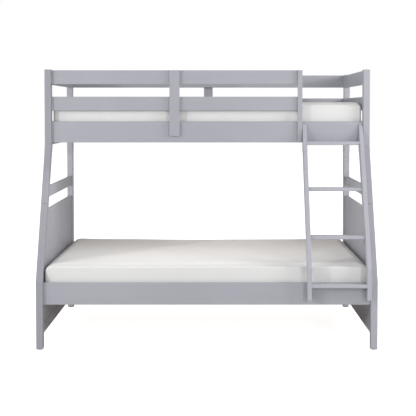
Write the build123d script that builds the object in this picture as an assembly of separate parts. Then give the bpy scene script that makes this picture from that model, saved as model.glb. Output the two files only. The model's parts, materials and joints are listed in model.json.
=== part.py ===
from build123d import *
import math
import os

# Bunk bed, narrow mattress over a wide one, with a ladder at the front right.
# X runs along the bed, +Y towards the back, +Z up. The origin is on the floor under the middle.
# All sizes are in millimetres.

# ------------------------------------------------------------------ mattresses
MATTRESS_LENGTH = 1905.0            # 75 in
UPPER_MATTRESS_WIDTH = 991.0        # 39 in
LOWER_MATTRESS_WIDTH = 1372.0       # 54 in
UPPER_MATTRESS_THICKNESS = 204.0
LOWER_MATTRESS_THICKNESS = 190.0
MATTRESS_CORNER_RADIUS = 70.0
MATTRESS_EDGE_RADIUS = 32.0
MATTRESS_END_GAP = 11.0             # to the posts, each end
MATTRESS_SIDE_GAP = 3.0             # to the rails, each side

# ------------------------------------------------------------------ posts
POST_WIDTH = 40.0                   # along X
POST_DEPTH = 57.0                   # along Y, square to the post
POST_RISE = 4.0                     # above the top guard rail
KINK_ABOVE_RAIL = 10.0              # the front legs start to lean back this far above the lower rail
KINK_BELOW_RAIL = 15.0              # and are upright again this far below the upper rail
SEAM_HEIGHT = 846.0                 # the lower posts end here and the upper ones stand on them
SEAM_GAP = 0.4
POST_EASING = 3.0
POST_END_CHAMFER = 2.0
PIN_RADIUS = 5.0
PIN_LENGTH = 60.0
PIN_CLEARANCE = 0.4                 # radial, in the upper posts
PIN_BORE_SPARE = 6.0                # beyond each end of a pin
PIN_CHAMFER = 1.0
GLIDE_RADIUS = 13.0
GLIDE_HEIGHT = 4.0
GLIDE_NAIL_RADIUS = 2.0
GLIDE_NAIL_LENGTH = 20.0

# ------------------------------------------------------------------ rails
RAIL_THICKNESS = 22.0
BED_RAIL_HEIGHT = 130.0
LOWER_RAIL_BOTTOM = 266.0
UPPER_RAIL_BOTTOM = 1210.0
GUARD_RAIL_HEIGHT = 86.0
GUARD_LOWER_GAP = 67.0              # bed rail to middle guard rail
GUARD_UPPER_GAP = 77.0              # middle guard rail to top guard rail
RAIL_EASING = 2.5

# ------------------------------------------------------------------ mattress bases
CLEAT_WIDTH = 22.0
CLEAT_HEIGHT = 28.0
CLEAT_END_GAP = 12.0
SLAT_THICKNESS = 18.0
SLAT_WIDTH = 70.0
SLAT_PITCH_LIMIT = 155.0
SLAT_END_GAP = 14.0
SLAT_SIDE_GAP = 1.0
SLAT_EASING = 2.0
MATTRESS_LIFT_GAP = 0.4             # the upper mattress is its own body

# ------------------------------------------------------------------ end frames
END_BOARD_THICKNESS = 20.0
PANEL_BOTTOM = 80.0
PANEL_BELOW_SEAM = 42.0
PANEL_RAIL_HEIGHT = 65.0
PANEL_THICKNESS = 16.0
PANEL_PLANKS = 9
GROOVE_WIDTH = 6.0
GROOVE_DEPTH = 3.0
CROSS_RAIL_ABOVE_SEAM = 30.0
CROSS_RAIL_HEIGHT = 66.0
END_BOARD_EASING = 2.0

# ------------------------------------------------------------------ guard boards
GUARD_BOARD_THICKNESS = 17.0
GUARD_SLAT_WIDTH = 62.0
GUARD_SLAT_RISE = 40.0              # above the bottom of the upper bed rail
UPRIGHT_WIDTH = 28.5
GUARD_BOARD_EASING = 2.0

# ------------------------------------------------------------------ ladder
STILE_WIDTH = 25.0                  # along X
STILE_RUN = 80.0                    # level depth of the leaning stretch
STILE_FOOT_DEPTH = 57.5
STILE_FOOT_RISE = 35.0              # above the bottom of the lower rail
STILE_LEAN_ABOVE_RAIL = 48.0        # the back edge leans from this far above the lower rail
STILE_LEAN_BELOW_RAIL = 30.0        # to this far below the upper rail
STILE_TIP = 6.0                     # level top of the tapered head
STILE_EASING = 2.5
LADDER_FOOT_GAP = 0.5               # to the lower rail, which it only leans on
LADDER_POST_GAP = 2.0
LADDER_UPRIGHT_GAP = 1.0
RUNG_LENGTH = 323.0
RUNG_DEPTH = 54.0
RUNG_THICKNESS = 22.0
RUNG_EASING = 4.0
RUNG_COUNT = 4
LOWEST_RUNG_DROP = 13.5             # its centre, below the top of the lower rail
HIGHEST_RUNG_DROP = 3.1             # its centre, below the bottom of the upper rail

# ------------------------------------------------------------------ fasteners
BOLT_RADIUS = 3.0
BOLT_CLEARANCE = 0.5
BOLT_HEAD_RADIUS = 8.5
BOLT_HEAD_HEIGHT = 2.5
BOLT_HEAD_CLEARANCE = 0.5
BOLT_REACH = 45.0                   # into the rail's end
BOLT_EDGE = 35.0                    # from a bed rail's edge to its bolts
NUT_RADIUS = 5.0
NUT_LENGTH = 14.0
NUT_SKIN = 4.0                      # wood left between the nut and the rail's show face
NUT_SETBACK = 32.0                  # from the rail's end
NUT_CLEARANCE = 0.2
SCREW_RADIUS = 2.0
SCREW_HEAD_RADIUS = 4.5
SCREW_HEAD_HEIGHT = 3.0
SCREW_CLEARANCE = 0.1
SCREW_BITE = 14.0                   # threaded length in the second piece
LADDER_SCREW_BITE = 20.0
LADDER_SCREW_HEIGHTS = (25.0, 60.0)  # above the bottom of the upper bed rail
RUNG_SCREW_BITE = 26.0
RUNG_SCREW_SPREAD = 30.0
CLEAT_SCREWS = 6
GUARD_SCREW_SHARE = 2 / 3           # of the board's thickness that its screws reach into
SOCKET_SHARE = 0.45                 # drive socket's radius as a share of the head's
CUT_BEYOND = 1.0                    # how far a head's hole is cut past the face

# ------------------------------------------------------------------ derived sizes
inner_length = MATTRESS_LENGTH + 2 * MATTRESS_END_GAP
overall_length = inner_length + 2 * POST_WIDTH
post_x = (inner_length + POST_WIDTH) / 2
rail_setback = (POST_DEPTH - RAIL_THICKNESS) / 2
rail_and_setback = RAIL_THICKNESS + rail_setback
lower_depth = LOWER_MATTRESS_WIDTH + 2 * (MATTRESS_SIDE_GAP + rail_and_setback)
upper_depth = UPPER_MATTRESS_WIDTH + 2 * (MATTRESS_SIDE_GAP + rail_and_setback)
setback = lower_depth - upper_depth
ladder_reach = STILE_FOOT_DEPTH + LADDER_FOOT_GAP - rail_setback

front = ladder_reach - (lower_depth + ladder_reach) / 2     # front face of the lower front posts
back = front + lower_depth                                  # back face of the rear posts
upper_front = front + setback                               # front face of the upper front posts
rear_post_front = back - POST_DEPTH

lower_rail_top = LOWER_RAIL_BOTTOM + BED_RAIL_HEIGHT
upper_rail_top = UPPER_RAIL_BOTTOM + BED_RAIL_HEIGHT
guard_mid_bottom = upper_rail_top + GUARD_LOWER_GAP
guard_top_bottom = guard_mid_bottom + GUARD_RAIL_HEIGHT + GUARD_UPPER_GAP
guard_top = guard_top_bottom + GUARD_RAIL_HEIGHT
post_top = guard_top + POST_RISE
kink_low = lower_rail_top + KINK_ABOVE_RAIL
kink_high = UPPER_RAIL_BOTTOM - KINK_BELOW_RAIL
panel_top = SEAM_HEIGHT - PANEL_BELOW_SEAM
cross_rail_bottom = SEAM_HEIGHT + CROSS_RAIL_ABOVE_SEAM
lean = math.atan2(setback, kink_high - kink_low)
mitre_drop = POST_DEPTH * math.tan(lean / 2)

lower_front_rail_y = front + POST_DEPTH / 2
upper_front_rail_y = upper_front + POST_DEPTH / 2
rear_rail_y = back - POST_DEPTH / 2
slat_offset = CLEAT_HEIGHT + SLAT_THICKNESS                 # mattress above its rail's bottom edge
upper_post_bottom = SEAM_HEIGHT + SEAM_GAP

ladder_right = inner_length / 2 - LADDER_POST_GAP
right_rung_end = ladder_right - STILE_WIDTH
left_rung_end = right_rung_end - RUNG_LENGTH
ladder_left = left_rung_end - STILE_WIDTH
guard_end = ladder_left - LADDER_UPRIGHT_GAP
upright_start = guard_end - UPRIGHT_WIDTH
guard_slat_bottom = UPPER_RAIL_BOTTOM + GUARD_SLAT_RISE
guard_slat_x = (upright_start - inner_length / 2) / 2

foot_back = lower_front_rail_y - RAIL_THICKNESS / 2 - LADDER_FOOT_GAP
foot_front = foot_back - STILE_FOOT_DEPTH
head_back = upper_front_rail_y - RAIL_THICKNESS / 2
stile_foot_bottom = LOWER_RAIL_BOTTOM + STILE_FOOT_RISE
stile_lean_low = lower_rail_top + STILE_LEAN_ABOVE_RAIL
stile_lean_high = UPPER_RAIL_BOTTOM - STILE_LEAN_BELOW_RAIL
stile_slope = (head_back - foot_back) / (stile_lean_high - stile_lean_low)
stile_front_kink = stile_lean_low + (STILE_RUN - STILE_FOOT_DEPTH) / stile_slope
stile_top = stile_lean_low + (head_back - STILE_TIP - foot_back + STILE_RUN) / stile_slope
lowest_rung = lower_rail_top - LOWEST_RUNG_DROP
highest_rung = UPPER_RAIL_BOTTOM - HIGHEST_RUNG_DROP
rung_pitch = (highest_rung - lowest_rung) / (RUNG_COUNT - 1)

SIDES = {"left": -1, "right": 1}

pieces = {}
bores = {}


# ------------------------------------------------------------------ shapes
def block(x0, x1, y0, y1, z0, z1):
    """Box between two opposite corners."""
    size = (x1 - x0, y1 - y0, z1 - z0)
    middle = ((x0 + x1) / 2, (y0 + y1) / 2, (z0 + z1) / 2)
    return Pos(*middle) * Box(*size)


def side_profile(outline, x0, x1):
    """Outline of (y, z) points, extruded along X from x0 to x1."""
    corners = [(x0, y, z) for y, z in outline]
    face = make_face(Polyline(*corners, close=True))
    return extrude(face, amount=x1 - x0, dir=(1, 0, 0))


def rising_edges(shape):
    """Edges that climb, which are a post's long corners."""
    return [edge for edge in shape.edges() if edge.bounding_box().size.Z > POST_END_CHAMFER]


def leg_front(z):
    """Front face of a front post at height z."""
    share = min(max((z - kink_low) / (kink_high - kink_low), 0), 1)
    return front + setback * share


def leg_back(z):
    """Back face of a front post at height z; its bends sit lower by the mitre."""
    return leg_front(z + mitre_drop) + POST_DEPTH


def between(low, high, heights):
    """Those of the heights that lie strictly between low and high."""
    return [z for z in heights if low < z < high]


def front_post(side, low, high):
    """Stretch of a bent front post between two heights."""
    going_up = [low, *between(low, high, (kink_low, kink_high)), high]
    bends_behind = (kink_low - mitre_drop, kink_high - mitre_drop)
    coming_down = [high, *reversed(between(low, high, bends_behind)), low]
    outline = [(leg_front(z), z) for z in going_up] + [(leg_back(z), z) for z in coming_down]
    return side_profile(outline, side * post_x - POST_WIDTH / 2, side * post_x + POST_WIDTH / 2)


def rear_post(side, low, high):
    """Straight rear post between two heights."""
    middle = side * post_x
    return block(middle - POST_WIDTH / 2, middle + POST_WIDTH / 2, rear_post_front, back, low, high)


def finish_post(shape):
    """Round a post's long corners and chamfer both its ends."""
    shape = fillet(rising_edges(shape), POST_EASING)
    for end in (0, -1):
        end_face = shape.faces().filter_by(Axis.Z).sort_by(Axis.Z)[end]
        shape = chamfer(end_face.edges(), POST_END_CHAMFER)
    return shape


def end_board(side, low, high, thickness):
    """Board in an end frame that fits against the front post's back face."""
    bends = between(low, high, (kink_low - mitre_drop, kink_high - mitre_drop))
    outline = [(leg_back(z), z) for z in (low, *bends, high)]
    outline += [(rear_post_front, high), (rear_post_front, low)]
    middle = side * post_x
    return side_profile(outline, middle - thickness / 2, middle + thickness / 2)


def ease_end_board(shape):
    """Round the level edges of an end board."""
    level = [edge for edge in shape.edges().filter_by(Axis.Y) if edge.length > POST_DEPTH]
    return fillet(level, END_BOARD_EASING)


def rail(x0, x1, y, low, height):
    """Lengthwise rail centred on y, with rounded long edges."""
    board = block(x0, x1, y - RAIL_THICKNESS / 2, y + RAIL_THICKNESS / 2, low, low + height)
    return fillet(board.edges().filter_by(Axis.X), RAIL_EASING)


def mattress(y, width, bottom, thickness):
    """Plain rounded slab that stands in for a mattress."""
    slab = Pos(0, y, bottom + thickness / 2) * Box(MATTRESS_LENGTH, width, thickness)
    slab = fillet(slab.edges().filter_by(Axis.Z), MATTRESS_CORNER_RADIUS)
    rims = slab.faces().filter_by(Axis.Z).edges()
    return fillet(rims, MATTRESS_EDGE_RADIUS)


# ------------------------------------------------------------------ fasteners
def peg(seat, outward, radius, depth, head_radius, head_height):
    """Shank that runs inwards from seat, with a round head that stands outwards from it."""
    shank = Cylinder(radius, depth, align=(Align.CENTER, Align.CENTER, Align.MAX))
    head = Cylinder(head_radius, head_height, align=(Align.CENTER, Align.CENTER, Align.MIN))
    return Plane(origin=seat, z_dir=outward) * (shank + head)


def drive_socket(seat, outward, head_radius, head_height):
    """Hexagonal recess for the key, in the outer half of a head."""
    hexagon = RegularPolygon(head_radius * SOCKET_SHARE, 6)
    recess = Pos(0, 0, head_height / 2) * extrude(hexagon, head_height)
    return Plane(origin=seat, z_dir=outward) * recess


def drill(tool, *names):
    """Note a hole to be cut from each of the named pieces."""
    for name in names:
        bores.setdefault(name, []).append(tool)


def screw(face_point, outward, depth, *names):
    """Wood screw with its head flush in the face, and its hole in each named piece."""
    outward = Vector(*outward)
    seat = Vector(*face_point) - outward * SCREW_HEAD_HEIGHT
    shank = depth - SCREW_HEAD_HEIGHT
    hole = peg(seat, outward, SCREW_RADIUS + SCREW_CLEARANCE, shank + SCREW_CLEARANCE,
               SCREW_HEAD_RADIUS + SCREW_CLEARANCE, SCREW_HEAD_HEIGHT + CUT_BEYOND)
    drill(hole, *names)
    body = peg(seat, outward, SCREW_RADIUS, shank, SCREW_HEAD_RADIUS, SCREW_HEAD_HEIGHT)
    return body - drive_socket(seat, outward, SCREW_HEAD_RADIUS, SCREW_HEAD_HEIGHT)


def rail_bolt(rail_name, post_name, side, y, z, inward):
    """Bolt through a post into a rail's end, with its barrel nut; inward is +1 or -1 along Y."""
    outward = Vector(side, 0, 0)
    seat = Vector(side * (overall_length / 2 - BOLT_HEAD_HEIGHT), y, z)
    depth = POST_WIDTH - BOLT_HEAD_HEIGHT + BOLT_REACH
    hole = peg(seat, outward, BOLT_RADIUS + BOLT_CLEARANCE, depth + BOLT_CLEARANCE,
               BOLT_HEAD_RADIUS + BOLT_HEAD_CLEARANCE, BOLT_HEAD_HEIGHT + CUT_BEYOND)
    drill(hole, post_name, rail_name)
    bolt = peg(seat, outward, BOLT_RADIUS, depth, BOLT_HEAD_RADIUS, BOLT_HEAD_HEIGHT)
    bolt -= drive_socket(seat, outward, BOLT_HEAD_RADIUS, BOLT_HEAD_HEIGHT)

    nut_x = side * (inner_length / 2 - NUT_SETBACK)
    show_face = y - inward * RAIL_THICKNESS / 2
    nut_plane = Plane(origin=(nut_x, show_face + inward * NUT_SKIN, z), z_dir=(0, inward, 0))
    upright = (Align.CENTER, Align.CENTER, Align.MIN)
    drill(nut_plane * Cylinder(NUT_RADIUS + NUT_CLEARANCE, RAIL_THICKNESS, align=upright), rail_name)
    nut = nut_plane * Cylinder(NUT_RADIUS, NUT_LENGTH, align=upright)
    nut -= peg(seat, outward, BOLT_RADIUS, depth, BOLT_HEAD_RADIUS, BOLT_HEAD_HEIGHT)
    return bolt, nut


def group(solids):
    """Identical pieces as one group of separate solids."""
    return Compound(children=list(solids))


# ------------------------------------------------------------------ sub-assemblies
def make_posts():
    """Four lower posts, four upper posts, the pins between them and the glides under them."""
    pins = []
    glides = []
    for side_name, side in SIDES.items():
        for row, shape in (("front", front_post), ("rear", rear_post)):
            lower_name = f"lower_{side_name}_{row}_post"
            upper_name = f"upper_{side_name}_{row}_post"
            pieces[lower_name] = finish_post(shape(side, GLIDE_HEIGHT, SEAM_HEIGHT))
            pieces[upper_name] = finish_post(shape(side, upper_post_bottom, post_top))

            seam_y = (leg_front(SEAM_HEIGHT) + leg_back(SEAM_HEIGHT)) / 2
            seat = Vector(side * post_x, seam_y if row == "front" else rear_rail_y, SEAM_HEIGHT)
            pin = Pos(seat) * Cylinder(PIN_RADIUS, PIN_LENGTH)
            pins.append(chamfer(pin.edges().filter_by(GeomType.CIRCLE), PIN_CHAMFER))
            drill(Pos(seat) * Cylinder(PIN_RADIUS, PIN_LENGTH), lower_name)
            bore = Cylinder(PIN_RADIUS + PIN_CLEARANCE, PIN_LENGTH + 2 * PIN_BORE_SPARE)
            drill(Pos(seat) * bore, upper_name)

            foot_y = front + POST_DEPTH / 2 if row == "front" else rear_rail_y
            foot = Vector(side * post_x, foot_y, GLIDE_HEIGHT)
            glides.append(peg(foot, (0, 0, -1), GLIDE_NAIL_RADIUS, GLIDE_NAIL_LENGTH,
                              GLIDE_RADIUS, GLIDE_HEIGHT))
            drill(peg(foot, (0, 0, -1), GLIDE_NAIL_RADIUS, GLIDE_NAIL_LENGTH,
                      GLIDE_NAIL_RADIUS, GLIDE_HEIGHT), lower_name)
    pieces["post_dowel_pins"] = group(pins)
    pieces["floor_glides"] = group(glides)


def make_lower_ends():
    """Grooved end panels of the lower bunk, each between its two level rails."""
    field_low = PANEL_BOTTOM + PANEL_RAIL_HEIGHT
    field_high = panel_top - PANEL_RAIL_HEIGHT
    first_groove = front + POST_DEPTH
    plank = (rear_post_front - first_groove) / PANEL_PLANKS
    for side_name, side in SIDES.items():
        panel = end_board(side, field_low, field_high, PANEL_THICKNESS)
        grooves = []
        for face in (-1, 1):
            surface = side * post_x + face * PANEL_THICKNESS / 2
            for index in range(1, PANEL_PLANKS):
                y = first_groove + index * plank
                section = Polyline((surface, y - GROOVE_WIDTH / 2, field_low),
                                   (surface, y + GROOVE_WIDTH / 2, field_low),
                                   (surface - face * GROOVE_DEPTH, y, field_low), close=True)
                grooves.append(extrude(make_face(section), field_high - field_low, dir=(0, 0, 1)))
        pieces[f"{side_name}_end_panel"] = panel - grooves
        for level, low in (("bottom", PANEL_BOTTOM), ("top", field_high)):
            board = end_board(side, low, low + PANEL_RAIL_HEIGHT, END_BOARD_THICKNESS)
            pieces[f"{side_name}_panel_{level}_rail"] = ease_end_board(board)


def make_upper_ends():
    """Cross rail, bed end rail and two guard rails at each end of the upper bunk."""
    levels = {
        "cross_rail": (cross_rail_bottom, cross_rail_bottom + CROSS_RAIL_HEIGHT),
        "bed_end_rail": (kink_high, upper_rail_top),
        "guard_mid_end_rail": (guard_mid_bottom, guard_mid_bottom + GUARD_RAIL_HEIGHT),
        "guard_top_end_rail": (guard_top_bottom, guard_top_bottom + GUARD_RAIL_HEIGHT),
    }
    for side_name, side in SIDES.items():
        for level, (low, high) in levels.items():
            board = end_board(side, low, high, END_BOARD_THICKNESS)
            pieces[f"{side_name}_{level}"] = ease_end_board(board)


def make_bed_base(bunk, front_y, rail_bottom):
    """Bed rails, cleats and slats of one bunk, with their bolts, nuts and screws."""
    half = inner_length / 2
    bolts = []
    nuts = []
    screws = []
    cleat_half = half - CLEAT_END_GAP
    for row, y, inward in (("front", front_y, 1), ("rear", rear_rail_y, -1)):
        rail_name = f"{bunk}_{row}_rail"
        cleat_name = f"{bunk}_{row}_cleat"
        pieces[rail_name] = rail(-half, half, y, rail_bottom, BED_RAIL_HEIGHT)
        inner_face = y + inward * RAIL_THICKNESS / 2
        cleat_y = inner_face + inward * CLEAT_WIDTH / 2
        pieces[cleat_name] = Pos(0, cleat_y, rail_bottom + CLEAT_HEIGHT / 2) * Box(
            2 * cleat_half, CLEAT_WIDTH, CLEAT_HEIGHT)
        for side_name, side in SIDES.items():
            post_name = f"{bunk}_{side_name}_{row}_post"
            for z in (rail_bottom + BOLT_EDGE, rail_bottom + BED_RAIL_HEIGHT - BOLT_EDGE):
                bolt, nut = rail_bolt(rail_name, post_name, side, y, z, inward)
                bolts.append(bolt)
                nuts.append(nut)

    slat_front = front_y + RAIL_THICKNESS / 2 + SLAT_SIDE_GAP
    slat_back = rear_rail_y - RAIL_THICKNESS / 2 - SLAT_SIDE_GAP
    first_slat = -half + SLAT_END_GAP + SLAT_WIDTH / 2
    slat_spaces = math.ceil(-2 * first_slat / SLAT_PITCH_LIMIT)
    pitch = -2 * first_slat / slat_spaces
    slat_bottom = rail_bottom + CLEAT_HEIGHT
    slats = []
    for index in range(slat_spaces + 1):
        x = first_slat + index * pitch
        slat = block(x - SLAT_WIDTH / 2, x + SLAT_WIDTH / 2, slat_front, slat_back,
                     slat_bottom, slat_bottom + SLAT_THICKNESS)
        slats.append(fillet(slat.edges().filter_by(Axis.Y), SLAT_EASING))
        for row, y in (("front", slat_front), ("rear", slat_back)):
            towards_middle = 1 if row == "front" else -1
            spot = y + towards_middle * (CLEAT_WIDTH / 2 - SLAT_SIDE_GAP)
            screws.append(screw((x, spot, slat_bottom + SLAT_THICKNESS), (0, 0, 1),
                                SLAT_THICKNESS + SCREW_BITE, f"{bunk}_slats", f"{bunk}_{row}_cleat"))
    pieces[f"{bunk}_slats"] = group(slats)

    for row, y, inward in (("front", front_y, 1), ("rear", rear_rail_y, -1)):
        cleat_face = y + inward * (RAIL_THICKNESS / 2 + CLEAT_WIDTH)
        for index in range(CLEAT_SCREWS):
            space = round((index + 0.5) * slat_spaces / CLEAT_SCREWS - 0.5)
            x = first_slat + (space + 0.5) * pitch
            screws.append(screw((x, cleat_face, rail_bottom + CLEAT_HEIGHT / 2), (0, inward, 0),
                                CLEAT_WIDTH + SCREW_BITE, f"{bunk}_{row}_cleat", f"{bunk}_{row}_rail"))
    pieces[f"{bunk}_base_screws"] = group(screws)
    return bolts, nuts


def make_guards():
    """Lengthwise guard rails, the boards that tie them together and their fasteners."""
    half = inner_length / 2
    bolts = []
    nuts = []
    levels = {"mid": guard_mid_bottom, "top": guard_top_bottom}
    for level, low in levels.items():
        front_name = f"front_guard_{level}_rail"
        rear_name = f"rear_guard_{level}_rail"
        pieces[front_name] = rail(-half, guard_end, upper_front_rail_y, low, GUARD_RAIL_HEIGHT)
        pieces[rear_name] = rail(-half, half, rear_rail_y, low, GUARD_RAIL_HEIGHT)
        z = low + GUARD_RAIL_HEIGHT / 2
        joints = (
            (front_name, "upper_left_front_post", -1, upper_front_rail_y, 1),
            (rear_name, "upper_left_rear_post", -1, rear_rail_y, -1),
            (rear_name, "upper_right_rear_post", 1, rear_rail_y, -1),
        )
        for rail_name, post_name, side, y, inward in joints:
            bolt, nut = rail_bolt(rail_name, post_name, side, y, z, inward)
            bolts.append(bolt)
            nuts.append(nut)

    slat_half = GUARD_SLAT_WIDTH / 2
    boards = {
        "front_guard_slat": (guard_slat_x - slat_half, guard_slat_x + slat_half,
                             guard_slat_bottom, upper_front_rail_y, 1),
        "guard_upright": (upright_start, guard_end, UPPER_RAIL_BOTTOM, upper_front_rail_y, 1),
        "rear_guard_slat": (-slat_half, slat_half, guard_slat_bottom, rear_rail_y, -1),
    }
    screws = []
    for name, (x0, x1, low, rail_y, inward) in boards.items():
        show_side = rail_y - inward * RAIL_THICKNESS / 2
        outer = show_side - inward * GUARD_BOARD_THICKNESS
        board = block(x0, x1, min(show_side, outer), max(show_side, outer), low, guard_top)
        outer_edges = board.faces().sort_by(Axis.Y)[0 if inward > 0 else -1].edges()
        pieces[name] = fillet(outer_edges, GUARD_BOARD_EASING)
        row = "front" if inward > 0 else "rear"
        fixings = {
            f"upper_{row}_rail": (low + upper_rail_top) / 2,
            f"{row}_guard_mid_rail": guard_mid_bottom + GUARD_RAIL_HEIGHT / 2,
            f"{row}_guard_top_rail": guard_top_bottom + GUARD_RAIL_HEIGHT / 2,
        }
        middle = (x0 + x1) / 2
        quarter = (x1 - x0) / 4
        spots = (middle,) if name == "guard_upright" else (middle - quarter, middle + quarter)
        inner_face = rail_y + inward * RAIL_THICKNESS / 2
        depth = RAIL_THICKNESS + GUARD_BOARD_THICKNESS * GUARD_SCREW_SHARE
        for rail_name, z in fixings.items():
            for x in spots:
                screws.append(screw((x, inner_face, z), (0, inward, 0), depth, rail_name, name))
    pieces["guard_screws"] = group(screws)
    return bolts, nuts


def stile_front(z):
    """Front edge of a ladder stile at height z."""
    return max(foot_front, foot_back + (z - stile_lean_low) * stile_slope - STILE_RUN)


def stile_back(z):
    """Back edge of a ladder stile at height z."""
    share = min(max((z - stile_lean_low) / (stile_lean_high - stile_lean_low), 0), 1)
    return foot_back + (head_back - foot_back) * share


def make_ladder():
    """Two cranked stiles, level rungs between them and the screws that hold it all."""
    outline = [
        (foot_front, stile_foot_bottom), (foot_front, stile_front_kink),
        (head_back - STILE_TIP, stile_top), (head_back, stile_top),
        (head_back, stile_lean_high), (foot_back, stile_lean_low), (foot_back, stile_foot_bottom),
    ]
    stiles = {"ladder_left_stile": ladder_left, "ladder_right_stile": right_rung_end}
    for name, x in stiles.items():
        stile = side_profile(outline, x, x + STILE_WIDTH)
        pieces[name] = fillet(rising_edges(stile), STILE_EASING)

    rung_screws = []
    for index in range(RUNG_COUNT):
        name = f"ladder_rung_{index + 1}"
        z = lowest_rung + index * rung_pitch
        y = (stile_front(z) + stile_back(z)) / 2
        rung = block(left_rung_end, right_rung_end, y - RUNG_DEPTH / 2, y + RUNG_DEPTH / 2,
                     z - RUNG_THICKNESS / 2, z + RUNG_THICKNESS / 2)
        pieces[name] = fillet(rung.edges().filter_by(Axis.X), RUNG_EASING)
        for stile, x, outward in (("ladder_left_stile", ladder_left, -1),
                                  ("ladder_right_stile", ladder_right, 1)):
            for spot in (y - RUNG_SCREW_SPREAD / 2, y + RUNG_SCREW_SPREAD / 2):
                rung_screws.append(screw((x, spot, z), (outward, 0, 0),
                                         STILE_WIDTH + RUNG_SCREW_BITE, stile, name))
    pieces["rung_screws"] = group(rung_screws)

    ladder_screws = []
    for name, x in stiles.items():
        for rise in LADDER_SCREW_HEIGHTS:
            spot = (x + STILE_WIDTH / 2, head_back + RAIL_THICKNESS, UPPER_RAIL_BOTTOM + rise)
            ladder_screws.append(screw(spot, (0, 1, 0), RAIL_THICKNESS + LADDER_SCREW_BITE,
                                       "upper_front_rail", name))
    pieces["ladder_screws"] = group(ladder_screws)


def make_mattresses():
    """Wide mattress below and narrow mattress above, lying on their slats."""
    lower_y = (lower_front_rail_y + rear_rail_y) / 2
    upper_y = (upper_front_rail_y + rear_rail_y) / 2
    pieces["lower_mattress"] = mattress(lower_y, LOWER_MATTRESS_WIDTH,
                                        LOWER_RAIL_BOTTOM + slat_offset, LOWER_MATTRESS_THICKNESS)
    pieces["upper_mattress"] = mattress(upper_y, UPPER_MATTRESS_WIDTH,
                                        UPPER_RAIL_BOTTOM + slat_offset + MATTRESS_LIFT_GAP,
                                        UPPER_MATTRESS_THICKNESS)


make_posts()
make_lower_ends()
make_upper_ends()
lower_bolts, lower_nuts = make_bed_base("lower", lower_front_rail_y, LOWER_RAIL_BOTTOM)
upper_bolts, upper_nuts = make_bed_base("upper", upper_front_rail_y, UPPER_RAIL_BOTTOM)
guard_bolts, guard_nuts = make_guards()
pieces["lower_rail_bolts"] = group(lower_bolts)
pieces["lower_rail_nuts"] = group(lower_nuts)
pieces["upper_rail_bolts"] = group(upper_bolts + guard_bolts)
pieces["upper_rail_nuts"] = group(upper_nuts + guard_nuts)
make_ladder()
make_mattresses()

os.makedirs("parts", exist_ok=True)
for name, piece in pieces.items():
    if name in bores:
        piece = piece - bores[name]
    export_step(piece, f"parts/{name}.step")
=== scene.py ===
"""Looks of a painted bunk bed: its finishes, two soft mattresses and a plain pale studio."""
import json
import logging
import math
from dataclasses import dataclass, field
from enum import Enum
from typing import Any, Iterable, Mapping

import bmesh
import bpy
import numpy as np
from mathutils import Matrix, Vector
from mathutils.bvhtree import BVHTree


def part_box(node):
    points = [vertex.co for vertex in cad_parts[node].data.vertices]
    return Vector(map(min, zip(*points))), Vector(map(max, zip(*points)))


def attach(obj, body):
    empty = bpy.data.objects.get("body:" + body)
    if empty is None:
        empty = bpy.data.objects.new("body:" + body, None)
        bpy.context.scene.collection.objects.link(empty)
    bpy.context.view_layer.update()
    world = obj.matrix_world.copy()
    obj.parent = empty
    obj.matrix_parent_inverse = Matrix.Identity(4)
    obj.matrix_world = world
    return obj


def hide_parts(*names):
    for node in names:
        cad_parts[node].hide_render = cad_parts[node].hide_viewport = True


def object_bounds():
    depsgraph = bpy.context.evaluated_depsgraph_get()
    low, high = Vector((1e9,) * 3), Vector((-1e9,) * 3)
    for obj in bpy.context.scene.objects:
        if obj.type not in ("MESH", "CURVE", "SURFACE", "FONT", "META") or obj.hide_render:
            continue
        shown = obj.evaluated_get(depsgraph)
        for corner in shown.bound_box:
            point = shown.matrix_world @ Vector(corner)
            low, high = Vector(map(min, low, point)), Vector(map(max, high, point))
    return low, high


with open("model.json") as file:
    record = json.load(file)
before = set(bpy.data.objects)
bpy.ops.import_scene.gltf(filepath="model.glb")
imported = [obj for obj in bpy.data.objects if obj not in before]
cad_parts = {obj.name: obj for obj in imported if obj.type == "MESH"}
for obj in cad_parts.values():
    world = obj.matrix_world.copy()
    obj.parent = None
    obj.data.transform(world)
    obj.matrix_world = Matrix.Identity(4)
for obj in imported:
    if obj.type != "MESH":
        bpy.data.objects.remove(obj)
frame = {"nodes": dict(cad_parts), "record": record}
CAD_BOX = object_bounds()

LOG = logging.getLogger("bunk_bed")
FULL_TURN = 2.0 * math.pi
TINY = 1e-9
WELD_GAP = 1e-5

Colour = tuple[float, float, float]
Pieces = Mapping[str, bpy.types.Object]

WHITE: Colour = (1.0, 1.0, 1.0)


class Grain(Enum):
    """The way a board's grain runs."""

    ALONG_BED = "x"
    ACROSS_BED = "y"
    UPRIGHT = "z"


class PaintedLight(Enum):
    """Painted light and painted shade on the grey paint; the value scales how light the paint is,
    standing in for light and shade that the lamps don't give.
    """

    MAIN = 1.0
    # painted shade: darker paint on boards that the lamps leave too bright
    PAINTED_SHADE = 0.84
    # painted light: lighter paint on boards that the lamps leave too dark
    PAINTED_LIGHT = 1.12


class Weave(Enum):
    """The stitch pattern of a cloth."""

    KNIT = "knit"
    TAPE = "tape"


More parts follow.
